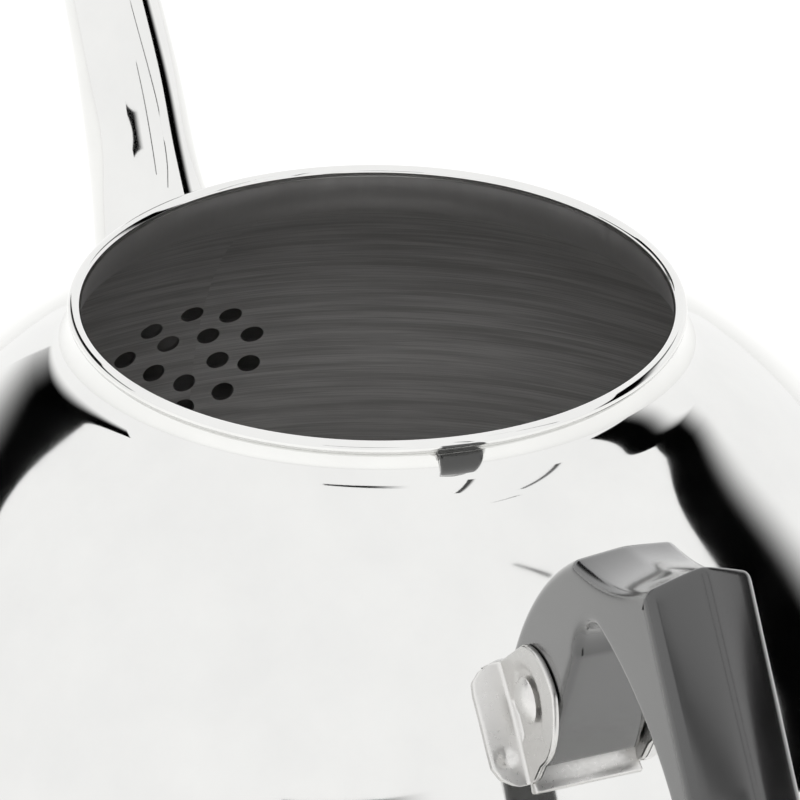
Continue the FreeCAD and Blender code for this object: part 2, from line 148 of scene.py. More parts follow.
def revolved(name, section, segments=160, place=None, bodyFaces=None):
    # turns a closed section (radius, height) about Z
    # u runs round the piece and v along its section, in metres
    section = np.array(section, float)
    if areaOf(section) < 0:
        section = section[::-1]
    onAxis = section[:, 0] < 1e-7
    reach = float(section[:, 0].max())
    vertices, rings = [], []
    for radius, height in section:
        ring = []
        for step in range(1 if radius < 1e-7 else segments):
            angle = 2 * math.pi * step / segments
            ring.append(len(vertices))
            vertices.append((radius * math.cos(angle), radius * math.sin(angle), height))
        rings.append(ring)
    along = np.concatenate([[0], np.cumsum(np.linalg.norm(np.diff(section, axis=0), axis=1))])
    faces, marks, places = [], [], []
    for index in range(len(section)):
        after = (index + 1) % len(section)
        if onAxis[index] and onAxis[after]:
            continue
        low, high = along[index], along[after] if after else along[-1] + 0.001
        for step in range(segments):
            turn = (step * reach * 2 * math.pi / segments, (step + 1) * reach * 2 * math.pi / segments)
            a, b = rings[index], rings[after]
            following = (step + 1) % segments
            if onAxis[index]:
                faces.append((a[0], b[following], b[step]))
                places.append([(turn[0], low), (turn[1], high), (turn[0], high)])
            elif onAxis[after]:
                faces.append((a[step], a[following], b[0]))
                places.append([(turn[0], low), (turn[1], low), (turn[0], high)])
            else:
                faces.append((a[step], a[following], b[following], b[step]))
                places.append([(turn[0], low), (turn[1], low), (turn[1], high), (turn[0], high)])
            marks.append(index)
    thing = meshObject(name, vertices, faces)
    layer = thing.data.uv_layers.new(name="lay")
    flat = [value for face in places for corner in face for value in corner]
    layer.data.foreach_set("uv", flat)
    if bodyFaces:
        sides = [bodyFaces(section[mark], section[(mark + 1) % len(section)]) for mark in marks]
        thing.data.polygons.foreach_set("material_index", sides)
    if place is not None:
        thing.data.transform(place)
    return thing


def gridSurface(name, rows, closed=False):
    # joins rows of points into a skin; closed joins each row's ends
    rows = np.array(rows, float)
    count, width = rows.shape[:2]
    vertices = rows.reshape(-1, 3)
    faces = []
    for row in range(count - 1):
        for column in range(width if closed else width - 1):
            following = (column + 1) % width
            low, high = row * width, (row + 1) * width
            faces.append((low + column, low + following, high + following, high + column))
    return meshObject(name, vertices, faces)


def closeSides(thing, side):
    # fills the open loop that lies on that side of the middle plane, row by row across its hollows
    shape = bmesh.new()
    shape.from_mesh(thing.data)
    bmesh.ops.remove_doubles(shape, verts=shape.verts, dist=1e-7)
    edges = [edge for edge in shape.edges if edge.is_boundary and edge.verts[0].co.y * side > 0]
    bmesh.ops.triangle_fill(shape, edges=edges, use_beauty=True, normal=(0, side, 0))
    shape.to_mesh(thing.data)
    shape.free()


def pointOutwards(thing):
    shape = bmesh.new()
    shape.from_mesh(thing.data)
    bmesh.ops.remove_doubles(shape, verts=shape.verts, dist=1e-7)
    bmesh.ops.recalc_face_normals(shape, faces=shape.faces)
    shape.to_mesh(thing.data)
    shape.free()


def smooth(thing, angle=32.0):
    thing.data.shade_smooth()
    thing.data.set_sharp_from_angle(angle=math.radians(angle))


def withModifiers(thing, *modifiers):
    # adds modifiers given as (kind, settings), applies them and leaves a plain mesh
    for kind, settings in modifiers:
        modifier = thing.modifiers.new(kind.lower(), kind)
        for name, value in settings.items():
            setattr(modifier, name, value)
    evaluated = thing.evaluated_get(bpy.context.evaluated_depsgraph_get())
    mesh = bpy.data.meshes.new_from_object(evaluated)
    thing.modifiers.clear()
    thing.data = mesh
    return thing


def merged(name, things):
    shape = bmesh.new()
    for thing in things:
        shape.from_mesh(thing.data)
        bpy.data.objects.remove(thing)
    mesh = bpy.data.meshes.new(name)
    shape.to_mesh(mesh)
    shape.free()
    whole = bpy.data.objects.new(name, mesh)
    bpy.context.scene.collection.objects.link(whole)
    return whole


def finishPiece(thing, body, slotName, replaced, *materials, angle=32.0):
    for material in materials:
        thing.data.materials.append(material)
    smooth(thing, angle)
    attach(thing, body)
    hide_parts(*replaced)
    return thing


# Finishes

def objectPlace(tree):
    return addNode(tree, "ShaderNodeTexCoord").outputs["Object"]


def surfacePlace(tree):
    return addNode(tree, "ShaderNodeUVMap", {"uv_map": "lay"}).outputs["UV"]


def spread(tree, place, scale):
    return addNode(tree, "ShaderNodeMapping", inputs={"Vector": place, "Scale": scale}).outputs[0]


def noise(tree, place, size, detail=3.0, roughness=0.5):
    # size is the real distance between blotches in metres
    settings = {"Vector": place, "Scale": 1 / size, "Detail": detail, "Roughness": roughness}
    return addNode(tree, "ShaderNodeTexNoise", inputs=settings).outputs["Fac"]


def remapped(tree, value, low, high, fromLow=0.3, fromHigh=0.7):
    settings = {"Value": value, "From Min": fromLow, "From Max": fromHigh, "To Min": low, "To Max": high}
    return addNode(tree, "ShaderNodeMapRange", inputs=settings).outputs["Result"]


def blended(tree, value, first, second):
    settings = {"Factor": value, "A": hexColour(first), "B": hexColour(second)}
    node = addNode(tree, "ShaderNodeMix", {"data_type": "RGBA"})
    tree.links.new(value, node.inputs[0])
    node.inputs[6].default_value = settings["A"]
    node.inputs[7].default_value = settings["B"]
    return node.outputs[2]


def bumped(tree, height, distance, onto=None):
    inputs = {"Height": height, "Distance": distance, "Strength": 1.0}
    if onto is not None:
        inputs["Normal"] = onto
    return addNode(tree, "ShaderNodeBump", inputs=inputs).outputs["Normal"]


def finish(name, build):
    material = bpy.data.materials.new(name)
    material.use_nodes = True
    tree = material.node_tree
    tree.nodes.clear()
    shader = addNode(tree, "ShaderNodeBsdfPrincipled", inputs=build(tree))
    addNode(tree, "ShaderNodeOutputMaterial", inputs={"Surface": shader.outputs[0]})
    return material


polish = {"waveSize": 34 * mm, "waveHeight": 0.10 * mm, "peelSize": 7 * mm, "peelHeight": 0.004 * mm,
          "hazeSize": 18 * mm, "clean": 0.025, "handled": 0.075}


def mirrorPolish(tree):
    # drawn stainless buffed to a mirror: sharp reflections that wander a little, hazed where it is handled
    place = objectPlace(tree)
    wave = bumped(tree, noise(tree, place, polish["waveSize"], 1.0), polish["waveHeight"])
    peel = bumped(tree, noise(tree, place, polish["peelSize"], 2.0), polish["peelHeight"], wave)
    haze = noise(tree, place, polish["hazeSize"], 5.0, 0.6)
    return {"Base Color": blended(tree, haze, "#e6e6e4", "#d9d9d8"), "Metallic": 1.0, "Normal": peel,
            "Roughness": remapped(tree, haze, polish["clean"], polish["handled"])}


brush = {"length": 30 * mm, "width": 0.35 * mm, "patch": 22 * mm / 9, "depth": 0.012 * mm}


def turnedBrush(tree):
    # the inside, brushed as it turned: dark steel with level streaks of uneven length
    place = surfacePlace(tree)
    drawn = spread(tree, place, (brush["width"] / brush["length"], 1, 1))
    fine = noise(tree, drawn, brush["width"], 3.0, 0.7)
    broad = noise(tree, spread(tree, place, (0.05, 1, 1)), brush["patch"], 4.0, 0.6)
    tone = addNode(tree, "ShaderNodeMath", {"operation": "MULTIPLY"}, {0: fine, 1: broad}).outputs[0]
    return {"Base Color": blended(tree, remapped(tree, tone, 0, 1, 0.16, 0.34), "#b5b4b3", "#dedddc"),
            "Metallic": 1.0, "Roughness": remapped(tree, fine, 0.40, 0.55),
            "Normal": bumped(tree, fine, brush["depth"])}


def neckSatin(tree):
    # the neck's inner band, rolled after brushing: satin grey with short smudges that run up and down
    place = surfacePlace(tree)
    smear = noise(tree, spread(tree, place, (1, 0.3, 1)), 3.5 * mm, 3.0, 0.6)
    return {"Base Color": blended(tree, smear, "#b3b2b1", "#c4c3c2"),
            "Metallic": 1.0, "Roughness": remapped(tree, smear, 0.44, 0.54),
            "Normal": bumped(tree, smear, 0.003 * mm)}


def latheSteel(tree):
    # base and hidden steel: turned rings from the lathe under a dull satin
    place = surfacePlace(tree)
    ring = noise(tree, spread(tree, place, (0.004, 1, 1)), 0.5 * mm, 2.0, 0.6)
    wear = noise(tree, objectPlace(tree), 12 * mm, 4.0, 0.6)
    return {"Base Color": blended(tree, wear, "#a9a8a6", "#cbcac8"), "Metallic": 1.0,
            "Roughness": remapped(tree, ring, 0.24, 0.42), "Normal": bumped(tree, ring, 0.02 * mm)}


def plainSteel(tree):
    # small hardware as it left the press: bright, with a fine grain and blurred reflections
    place = objectPlace(tree)
    grain = noise(tree, place, 0.6 * mm, 3.0, 0.6)
    wear = noise(tree, place, 4 * mm, 3.0)
    return {"Base Color": blended(tree, wear, "#d0cfcd", "#dedddb"), "Metallic": 1.0,
            "Roughness": remapped(tree, grain, 0.26, 0.36), "Normal": bumped(tree, grain, 0.0015 * mm)}


def springWire(tree):
    # drawn spring wire: darker steel with draw lines
    place = objectPlace(tree)
    lines = noise(tree, place, 0.3 * mm, 2.0)
    return {"Base Color": blended(tree, lines, "#6d6d6f", "#8a8a8c"), "Metallic": 1.0,
            "Roughness": remapped(tree, lines, 0.25, 0.4), "Normal": bumped(tree, lines, 0.006 * mm)}


def rolledAluminium(tree):
    # the core's edge: rolled aluminium, pale and matt with straight mill lines
    place = spread(tree, objectPlace(tree), (1, 0.05, 1))
    lines = noise(tree, place, 0.6 * mm, 3.0)
    return {"Base Color": blended(tree, lines, "#c9cacb", "#dcdddd"), "Metallic": 1.0,
            "Roughness": remapped(tree, lines, 0.38, 0.55), "Normal": bumped(tree, lines, 0.01 * mm)}


bakelite = {"orange": 1.6 * mm, "height": 0.006 * mm, "smudge": 14 * mm, "dust": 0.45 * mm}


def mouldedPhenolic(tree):
    # compression-moulded black phenolic: deep black under a soft polish, greyed by haze and fine dust
    place = objectPlace(tree)
    peel = noise(tree, place, bakelite["orange"], 3.0, 0.55)
    smudge = noise(tree, place, bakelite["smudge"], 4.0, 0.6)
    speck = noise(tree, place, bakelite["dust"], 1.0)
    dusty = remapped(tree, speck, 0, 0.35, 0.60, 0.85)
    return {"Base Color": blended(tree, dusty, "#0c0c0c", "#20201f"), "IOR": 1.6,
            "Coat Weight": 1.0, "Coat IOR": 1.6, "Coat Roughness": 0.12,
            "Roughness": remapped(tree, smudge, 0.16, 0.27), "Normal": bumped(tree, peel, bakelite["height"])}


polished = finish("stainless_mirror_polished", mirrorPolish)
brushedInside = finish("stainless_turn_brushed", turnedBrush)
neckBand = finish("stainless_neck_satin", neckSatin)
lathed = finish("stainless_lathe_turned", latheSteel)
hardware = finish("stainless_pressed_hardware", plainSteel)
spring = finish("spring_steel_drawn", springWire)
aluminium = finish("aluminium_rolled", rolledAluminium)
phenolic = finish("phenolic_compression_moulded", mouldedPhenolic)
print("finishes made")


# Body: the dome's section from the frame's own sizes

# the neck's hollow is drawn rounder and starts nearer the rim than on its own CAD node
shellLow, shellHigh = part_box("body_shell")
bodySizes = {
    "bead": 1.15 * mm,
    "wall": 0.8 * mm,
    "neck": 50.4 * mm,
    "neckDepth": 1.61 * mm,
    "neckFillet": 9.0 * mm,
    "slope": math.radians(61.8),
    "shoulder": 2.71 * mm,
    "dome": 92.15 * mm,
    "seam": float(shellLow.z),
    "seamRound": 0.3 * mm,
    "segments": 288,
}
rim = float(shellHigh.z) - bodySizes["bead"]
neckFoot = rim - bodySizes["neckDepth"]
lean = np.array([math.cos(bodySizes["slope"]), math.sin(bodySizes["slope"])])  # across the shoulder, outwards
slide = np.array([lean[1], -lean[0]])  # down the shoulder
filletEnd = np.array([bodySizes["neck"] + bodySizes["neckFillet"], neckFoot]) - bodySizes["neckFillet"] * lean
shoulderEnd = filletEnd + bodySizes["shoulder"] * slide
domeCentre = shoulderEnd - bodySizes["dome"] * lean
widest = float(domeCentre[0] + bodySizes["dome"])


def domeSection(inwards):
    # from the neck's foot down to the widest point
    fillet = bodySizes["neckFillet"] + inwards
    return [
        (bodySizes["neck"] - inwards, neckFoot),
        arcTo(tuple(filletEnd - inwards * lean), fillet, 1),
        tuple(shoulderEnd - inwards * lean),
        arcTo((widest - inwards, float(domeCentre[1])), bodySizes["dome"] - inwards, -1),
    ]


def domeDistance(point):
    # how far a point stands off the dome's surface
    around = math.hypot(point[0], point[1]) - domeCentre[0]
    return math.hypot(around, point[2] - domeCentre[1]) - bodySizes["dome"]


def shellMaterial(first, second):
    # an anticlockwise section climbs the outside and comes down the inside
    height = (first[1] + second[1]) / 2
    if second[1] >= first[1] or height > rim - bodySizes["bead"]:
        return 0
    return 2 if height > filletEnd[1] + 0.2 * mm else 1


def punches():
    # the strainer's punches: two rings of pins made by Geometry Nodes, realised into one cutter
    tree = bpy.data.node_groups.new("strainerPunches", "GeometryNodeTree")
    tree.interface.new_socket("Geometry", in_out="OUTPUT", socket_type="NodeSocketGeometry")
    wanted = {"Inner ring": 7.0 * mm, "Outer ring": 13.8 * mm, "Hole radius": 2.3 * mm, "Length": 14 * mm}
    sockets = {name: tree.interface.new_socket(name, in_out="INPUT", socket_type="NodeSocketFloat")
               for name in wanted}
    size = addNode(tree, "NodeGroupInput").outputs
    pin = addNode(tree, "GeometryNodeMeshCylinder",
                  inputs={"Vertices": 40, "Radius": size["Hole radius"],
                          "Depth": size["Length"]}).outputs["Mesh"]
    both = addNode(tree, "GeometryNodeJoinGeometry")
    for count, ring in ((5, "Inner ring"), (10, "Outer ring")):
        spots = addNode(tree, "GeometryNodeMeshCircle", inputs={"Vertices": count, "Radius": size[ring]})
        pins = addNode(tree, "GeometryNodeInstanceOnPoints",
                       inputs={"Points": spots.outputs["Mesh"], "Instance": pin})
        tree.links.new(pins.outputs["Instances"], both.inputs[0])
    real = addNode(tree, "GeometryNodeRealizeInstances", inputs={0: both.outputs[0]})
    coat = addNode(tree, "GeometryNodeSetMaterial",
                   inputs={"Geometry": real.outputs[0], "Material": brushedInside})
    addNode(tree, "NodeGroupOutput", inputs={"Geometry": coat.outputs[0]})
    cutter = meshObject("punches", [(0, 0, 0)], [])
    modifier = cutter.modifiers.new("punches", "NODES")
    modifier.node_group = tree
    for name, value in wanted.items():
        modifier[sockets[name].identifier] = value
    mesh = bpy.data.meshes.new_from_object(cutter.evaluated_get(bpy.context.evaluated_depsgraph_get()))
    cutter.modifiers.clear()
    cutter.data = mesh
    return cutter


strainer = {"middle": (97.2 * mm, 0, 56.6 * mm), "tilt": 19.4, "turn": 1.0, "firstHole": 20.0}


def buildShell():
    wall, bead, neck = bodySizes["wall"], bodySizes["bead"], bodySizes["neck"]
    seam, soft = bodySizes["seam"], bodySizes["seamRound"]
    corners = [arcTo((neck, rim - bead), bead, -1)]
    corners += domeSection(0)
    corners += [(widest, seam + soft), arcTo((widest - soft, seam), soft, -1), (widest - wall, seam)]
    corners += [(widest - wall, float(domeCentre[1]))]
    inner = domeSection(wall)
    corners += [arcTo(inner[2], inner[3][1], 1), inner[1][0], arcTo(inner[0], inner[1][1], -1)]
    corners += [(neck - wall, rim - math.sqrt(bead**2 - wall**2)), arcTo((neck - bead, rim), bead, -1),
                arcTo((neck, rim + bead), bead, -1), arcTo((neck + bead, rim), bead, -1)]
    points = traced(corners, 1.0)
    keep = [0]
    for index in range(1, len(points)):
        # the bead's many short steps are thinned to what its size needs
        if np.linalg.norm(points[index] - points[keep[-1]]) > 0.12 * mm:
            keep.append(index)
    shell = revolved("kettleShell", points[keep], bodySizes["segments"], bodyFaces=shellMaterial)
    cutter = punches()
    face = (Matrix.Rotation(math.radians(strainer["turn"]), 4, "Z") @ Matrix.Translation(strainer["middle"])
            @ Matrix.Rotation(math.radians(90 - strainer["tilt"]), 4, "Y")
            @ Matrix.Rotation(math.radians(90 - strainer["firstHole"]), 4, "Z"))
    cutter.data.transform(face)
    for material in (polished, brushedInside, neckBand):
        shell.data.materials.append(material)
    withModifiers(shell, ("BOOLEAN", {"object": cutter, "operation": "DIFFERENCE", "solver": "EXACT",
                                      "material_mode": "TRANSFER"}))
    bpy.data.objects.remove(cutter)
    return finishPiece(shell, "kettle", "polished_steel", ["body_shell"], angle=40)


buildShell()
print("body shell turned and punched")


# Base: pan with its seam, core and cap

panLow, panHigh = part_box("base_pan")
coreRadius = float(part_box("base_core")[1].y)
baseSizes = {"corner": 19.0 * mm, "wall": 0.8 * mm, "cap": 0.8 * mm,
             "stampWidth": 3.0 * mm, "stampDepth": 0.25 * mm}


def buildBase():
    under, seam, wall = float(panLow.z), float(panHigh.z), baseSizes["wall"]
    corner, soft = baseSizes["corner"], bodySizes["seamRound"]
    flat = widest - corner
    pan = revolved("basePan", traced([
        (0, under), (flat, under), arcTo((widest, seam - soft), corner, 1),
        arcTo((widest - soft, seam), soft, 1),
        (widest - wall, seam), arcTo((flat, under + wall), corner - wall, -1), (0, under + wall),
    ], 1.5), 256, bodyFaces=lambda a, b: 1 if a[1] > b[1] or (a[1] == b[1] and a[0] > b[0]) else 0)
    finishPiece(pan, "kettle", "polished_steel", ["base_pan"], polished, brushedInside)
    cap = baseSizes["cap"]
    rings = []
    for radius in (24 * mm, 44 * mm, 62 * mm):
        half, deep = baseSizes["stampWidth"] / 2, baseSizes["stampDepth"]
        rings += [(radius - half, 0), (radius - half * 0.5, deep), (radius + half * 0.5, deep),
                  (radius + half, 0)]
    edge = 2 * mm
    disc = revolved("baseCap", traced([(0, 0)] + rings + [
        (coreRadius - edge + cap, 0), arcTo((coreRadius + cap, edge), edge, 1),
        (coreRadius + cap, under - 0.25 * mm), arcTo((coreRadius + cap - 0.3 * mm, under), 0.4 * mm, 1),
        (coreRadius, under), (coreRadius, cap), (0, cap),
    ], 6), 192)
    finishPiece(disc, "kettle", "satin_steel", ["base_cap"], lathed)


buildBase()
print("base made")


# Spout: a tapering tube through round stations, trimmed where it meets the dome

spoutSizes = {"wall": 0.8 * mm, "around": 128, "along": 150, "lip": 0.35 * mm}
spoutStations = [  # x, z and outer radius of the tube's middle, root to tip
    (92.0 * mm, 51.0 * mm, 20.0 * mm),
    (104.5 * mm, 57.0 * mm, 18.4 * mm),
    (116.5 * mm, 67.5 * mm, 14.6 * mm),
    (128.5 * mm, 82.3 * mm, 11.3 * mm),
    (136.5 * mm, 97.6 * mm, 10.4 * mm),
    (143.2 * mm, 107.6 * mm, 9.9 * mm),
    (150.8 * mm, 116.9 * mm, 9.5 * mm),
    (158.5 * mm, 125.5 * mm, 9.4 * mm),
]


def buildSpout():
    fine = smoothThrough(spoutStations, 600)
    heading = np.gradient(fine[:, :2], axis=0)
    heading /= np.linalg.norm(heading, axis=1)[:, None]
    around, along, wall = spoutSizes["around"], spoutSizes["along"], spoutSizes["wall"]

    def tubePoint(place, angle, inwards):
        low = min(int(place), len(fine) - 2)
        share = place - low
        x, z, radius = fine[low] * (1 - share) + fine[low + 1] * share
        dx, dz = heading[low] * (1 - share) + heading[low + 1] * share
        reach = (radius - inwards) * math.cos(angle)
        return (x - dz * reach, (radius - inwards) * math.sin(angle), z + dx * reach)

    def skin(inwards, end):
        rows = np.zeros((along, around, 3))
        for step in range(around):
            angle = 2 * math.pi * step / around
            low, high = 0.0, float(len(fine) - 1)
            for _ in range(30):
                middle = (low + high) / 2
                clear = domeDistance(tubePoint(middle, angle, inwards)) > 0
                low, high = (low, middle) if clear else (middle, high)
            for row, place in enumerate(np.linspace(low, end, along)):
                rows[row, step] = tubePoint(place, angle, inwards)
        return rows

    last = len(fine) - 1
    lip = spoutSizes["lip"] / (np.linalg.norm(fine[-1, :2] - fine[-2, :2]))
    outer = skin(0.0, last - lip)
    inner = skin(wall, last - lip)
    turn = [[[tubePoint(last - lip * (1 - math.sin(a)), 2 * math.pi * step / around,
                        wall / 2 - wall / 2 * math.cos(a)) for step in range(around)]]
            for a in (math.radians(turn) for turn in (30, 60, 90, 120, 150))]
    rows = np.concatenate([inner, np.array([t[0] for t in turn])[::-1], outer[::-1]])
    tube = gridSurface("spoutTube", rows, closed=True)
    count = len(rows)
    shape = bmesh.new()
    shape.from_mesh(tube.data)
    shape.verts.ensure_lookup_table()
    for step in range(around):  # the trimmed root edge closes the tube's wall against the dome
        following = (step + 1) % around
        first, second = (count - 1) * around, 0
        ring = (first + step, first + following, second + following, second + step)
        shape.faces.new([shape.verts[i] for i in ring])
    shape.to_mesh(tube.data)
    shape.free()
    pointOutwards(tube)
    for face in tube.data.polygons:  # a face that looks towards the tube's middle is inside it
        nearest = fine[np.argmin(np.hypot(fine[:, 0] - face.center.x, fine[:, 1] - face.center.z))]
        middle = Vector((nearest[0], 0, nearest[1]))
        face.material_index = 1 if face.normal.dot(face.center - middle) < 0 else 0
    return finishPiece(tube, "kettle", "polished_steel", ["spout"], polished, brushedInside)


buildSpout()
print("spout drawn")


# Handle bracket: stamped cheeks with flanges on the shoulder, in the frame of its seat

rivetLow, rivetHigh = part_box("handle_rivet")
rivetSpot = Vector(((rivetLow.x + rivetHigh.x) / 2, 0, (rivetLow.z + rivetHigh.z) / 2))
bracketSizes = {
    "tilt": math.radians(-46.1),
    "rivetX": -1.5 * mm, "rivetZ": 7.3 * mm, "rivetHead": 3.6 * mm, "rivetCrown": 1.6 * mm,
    "sheet": 1.0 * mm, "inside": 8.3 * mm, "bend": 1.1 * mm, "reach": 14.6 * mm,
    "dimple": 1.5 * mm, "dimpleDepth": 0.45 * mm, "dimpleX": -8.4 * mm, "dimpleY": 12.0 * mm,
    "recess": 0.55 * mm,
}
seatTurn = Matrix.Rotation(bracketSizes["tilt"], 4, "Y")
seatSpot = rivetSpot - seatTurn @ Vector((bracketSizes["rivetX"], 0, bracketSizes["rivetZ"]))
seatFrame = Matrix.Translation(seatSpot) @ seatTurn


def onDome(x, y, above):
    # the seat frame's point over x, y that stands so far off the dome
    low, high = -20 * mm, 12 * mm
    for _ in range(40):
        middle = (low + high) / 2
        if domeDistance(seatFrame @ Vector((x, y, middle))) < above:
            low = middle
        else:
            high = middle
    return low


def flangeReach(x):
    # how far the flange's edge stands from the middle, narrowing at its two ends
    edge = [(-13.0, 10.6), (-12.4, 12.2), (-11.3, 13.6), (-9.5, 14.5), (-7.0, 14.6), (2.0, 14.6), (4.0, 14.3),
            (5.3, 13.0), (6.2, 10.8)]
    return float(np.interp(x / mm, [p[0] for p in edge], [p[1] for p in edge])) * mm


def tearDrop(x, z):
    # depth of the pressed recess about the rivet: round at the rivet, drawn out to a point below it
    dx, dz = x - bracketSizes["rivetX"], z - bracketSizes["rivetZ"]
    round_, tail = 5.3 * mm, 10.5 * mm
    down = -(dx * 0.35 + dz * 0.94)
    share = min(max(down / tail, 0.0), 1.0)
    centre = share * tail
    across = math.hypot(dx + centre * 0.35, dz + centre * 0.94)
    edge = round_ * (1 - 0.75 * share) - across
    amount = min(max(edge / (1.3 * mm) + 0.5, 0.0), 1.0)
    return bracketSizes["recess"] * amount * amount * (3 - 2 * amount)


def buildBracket():
    sheet, inside, bend = bracketSizes["sheet"], bracketSizes["inside"], bracketSizes["bend"]
    middle = inside + sheet / 2
    top = traced([(6.2 * mm, 11.3 * mm), arcTo((-3.2 * mm, 18.2 * mm), 9.5 * mm, 1),
                  arcTo((-11.6 * mm, 6.0 * mm), 13.5 * mm, 1), (-12.6 * mm, 3.0 * mm),
                  (-13.0 * mm, 1.4 * mm)], 3.0)
    first = np.array([[6.2, 11.3], [5.7, 12.9]]) * mm
    columns = [point for point in top if point[0] < first[1, 0]]
    columns = [tuple(first[0]), tuple(first[1])] + [tuple(point) for point in columns]
    sides = []
    for side in (1, -1):
        rows = []
        for x, high in columns:
            foot = onDome(x, middle, sheet / 2)
            high = max(high - 0.1 * mm, foot + bend * 1.6)
            row = []
            reach = max(flangeReach(x) - 0.05 * mm, middle + bend * 1.25)
            for y in np.linspace(reach, middle + bend, 9):
                spot = onDome(x, y, sheet / 2)
                away = math.hypot(x - bracketSizes["dimpleX"], y - bracketSizes["dimpleY"])
                sunk = max(1 - (away / bracketSizes["dimple"]) ** 2, 0) * bracketSizes["dimpleDepth"]
                row.append((x, y * side, spot - sunk))
            base = onDome(x, middle + bend, sheet / 2)
            for angle in range(15, 90, 15):
                turn = math.radians(angle)
                across = (middle + bend * (1 - math.sin(turn))) * side
                row.append((x, across, base + bend * (1 - math.cos(turn))))
            for share in np.linspace(0, 1, 34):
                z = base + bend + (high - base - bend) * share
                row.append((x, (middle - tearDrop(x, z)) * side, z))
            rows.append([seatFrame @ Vector(point) for point in row])
        skin = gridSurface("cheek", [[tuple(point) for point in row] for row in rows])
        if side < 0:
            skin.data.flip_normals()
        sides.append(withModifiers(skin, ("SOLIDIFY", {"thickness": sheet, "offset": 0.0}),
                                   ("BEVEL", {"width": 0.28 * mm, "segments": 3, "limit_method": "ANGLE",
                                              "angle_limit": math.radians(50), "use_clamp_overlap": False})))
    rows = []
    for x in np.linspace(-14.6 * mm, 6.0 * mm, 24):
        lift = sheet / 2 + max(0.0, -12.2 * mm - x) ** 2 / (9 * mm)  # the lower lip turns up a little
        rows.append([tuple(seatFrame @ Vector((x, y, onDome(x, y, lift))))
                     for y in np.linspace(-middle, middle, 20)])
    web = gridSurface("web", rows)
    sides.append(withModifiers(web, ("SOLIDIFY", {"thickness": sheet, "offset": 0.0}),
                               ("BEVEL", {"width": 0.28 * mm, "segments": 3, "limit_method": "ANGLE",
                                          "angle_limit": math.radians(50), "use_clamp_overlap": False})))
    bracket = merged("handleBracket", sides)
    pointOutwards(bracket)
    finishPiece(bracket, "kettle", "polished_steel", ["handle_bracket"], hardware, angle=30)
    half = inside + sheet + 0.05 * mm
    head, crown = bracketSizes["rivetHead"], bracketSizes["rivetCrown"]
    bulge = (head**2 + crown**2) / (2 * crown)
    shank = 2.0 * mm
    across = Matrix.Translation(rivetSpot) @ Matrix.Rotation(math.radians(90), 4, "X")
    rivet = revolved("handleRivet", traced([
        (0, -half - crown + 0.06 * mm), arcTo((head, -half), bulge, 1), (head, -half + 0.02 * mm),
        (shank, -half + 0.02 * mm), (shank, half - 0.02 * mm), (head, half - 0.02 * mm), (head, half),
        arcTo((0, half + crown - 0.06 * mm), bulge, 1)], 3), 72, across)
    pointOutwards(rivet)
    finishPiece(rivet, "kettle", "plain_steel", ["handle_rivet"], hardware, angle=60)


buildBracket()
print("bracket stamped and riveted")


# Handle grip: moulded phenolic whose outer side is a low roof, its ridge over the top and down the grip

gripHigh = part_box("handle_grip")[1]
gripSizes = {"half": float(gripHigh.y), "edge": 1.5 * mm, "ridge": 0.7 * mm, "corner": 1.1 * mm,
             "crown": 0.035}
gripCorners = {  # where the roof meets the sides, and where its ridge stands
    "side": ((-98.3, 124.6), (-122.4, 133.2), (-140.0, 109.2), (-156.9, 54.4)),
    "ridge": ((-98.6, 125.6), (-123.3, 136.2), (-143.4, 110.7), (-158.2, 54.4)),
}


def gripOutline(topBack, topFront, gripTop, gripEnd):
    corners = [
        (-77.6, 96.4), arcTo(topBack, 60.0, 1), arcTo(topFront, 46.0, -1), gripTop, arcTo(gripEnd, 81.0, 1),
        arcTo((-149.4, 52.6), 4.8, 1), arcTo((-133.0, 105.8), 76.0, -1), arcTo((-107.5, 118.6), 47.0, -1),
        arcTo((-100.6, 109.4), 9.5, -1), (-90.6, 84.0), (-89.4, 83.6),
    ]
    return corners


def evenly(corners, counts):
    # traces an outline with a set number of steps on each stretch, so that two outlines match point by point
    ends = [np.array(corner[0] if len(corner) == 3 else corner, float) for corner in corners]
    points = []
    for index, (corner, steps) in enumerate(zip(corners, counts)):
        first, last = ends[index - 1], ends[index]
        if len(corner) == 3:
            radius, side = corner[1:]
            chord = last - first
            half = np.linalg.norm(chord) / 2
            across = np.array([-chord[1], chord[0]]) / (2 * half)
            centre = (first + last) / 2 + across * side * math.sqrt(max(radius**2 - half**2, 0))
            sweep = 2 * math.asin(min(half / radius, 1.0)) * side
            begin = math.atan2(*(first - centre)[::-1])
            points += [centre + radius * np.array([math.cos(begin + sweep * step / steps),
                                                   math.sin(begin + sweep * step / steps)])
                       for step in range(1, steps + 1)]
        else:
            points += [first + (last - first) * step / steps for step in range(1, steps + 1)]
    return np.array(points)


def softened(outline, kinks, reach):
    # swaps each kink for a short round
    points = []
    for index, point in enumerate(outline):
        if index not in kinks:
            points.append(point)
            continue
        before, after = outline[index - 1] - point, outline[(index + 1) % len(outline)] - point
        near = point + before * min(0.45, reach / np.linalg.norm(before))
        far = point + after * min(0.45, reach / np.linalg.norm(after))
        for share in (0, 0.2, 0.4, 0.6, 0.8, 1):
            points.append((1 - share)**2 * near + 2 * share * (1 - share) * point + share**2 * far)
    return np.array(points)


def turnsOf(outline):
    ahead = np.roll(outline, -1, axis=0) - outline
    heading = np.arctan2(ahead[:, 1], ahead[:, 0])
    return np.abs(np.angle(np.exp(1j * (heading - np.roll(heading, 1)))))


def insetLimit(outline):
    # how far each corner may move in before it would overtake its neighbours
    ahead = np.linalg.norm(np.roll(outline, -1, axis=0) - outline, axis=1)
    return 0.8 * np.minimum(ahead, np.roll(ahead, 1)) / np.maximum(np.tan(turnsOf(outline) / 2), 1e-4)


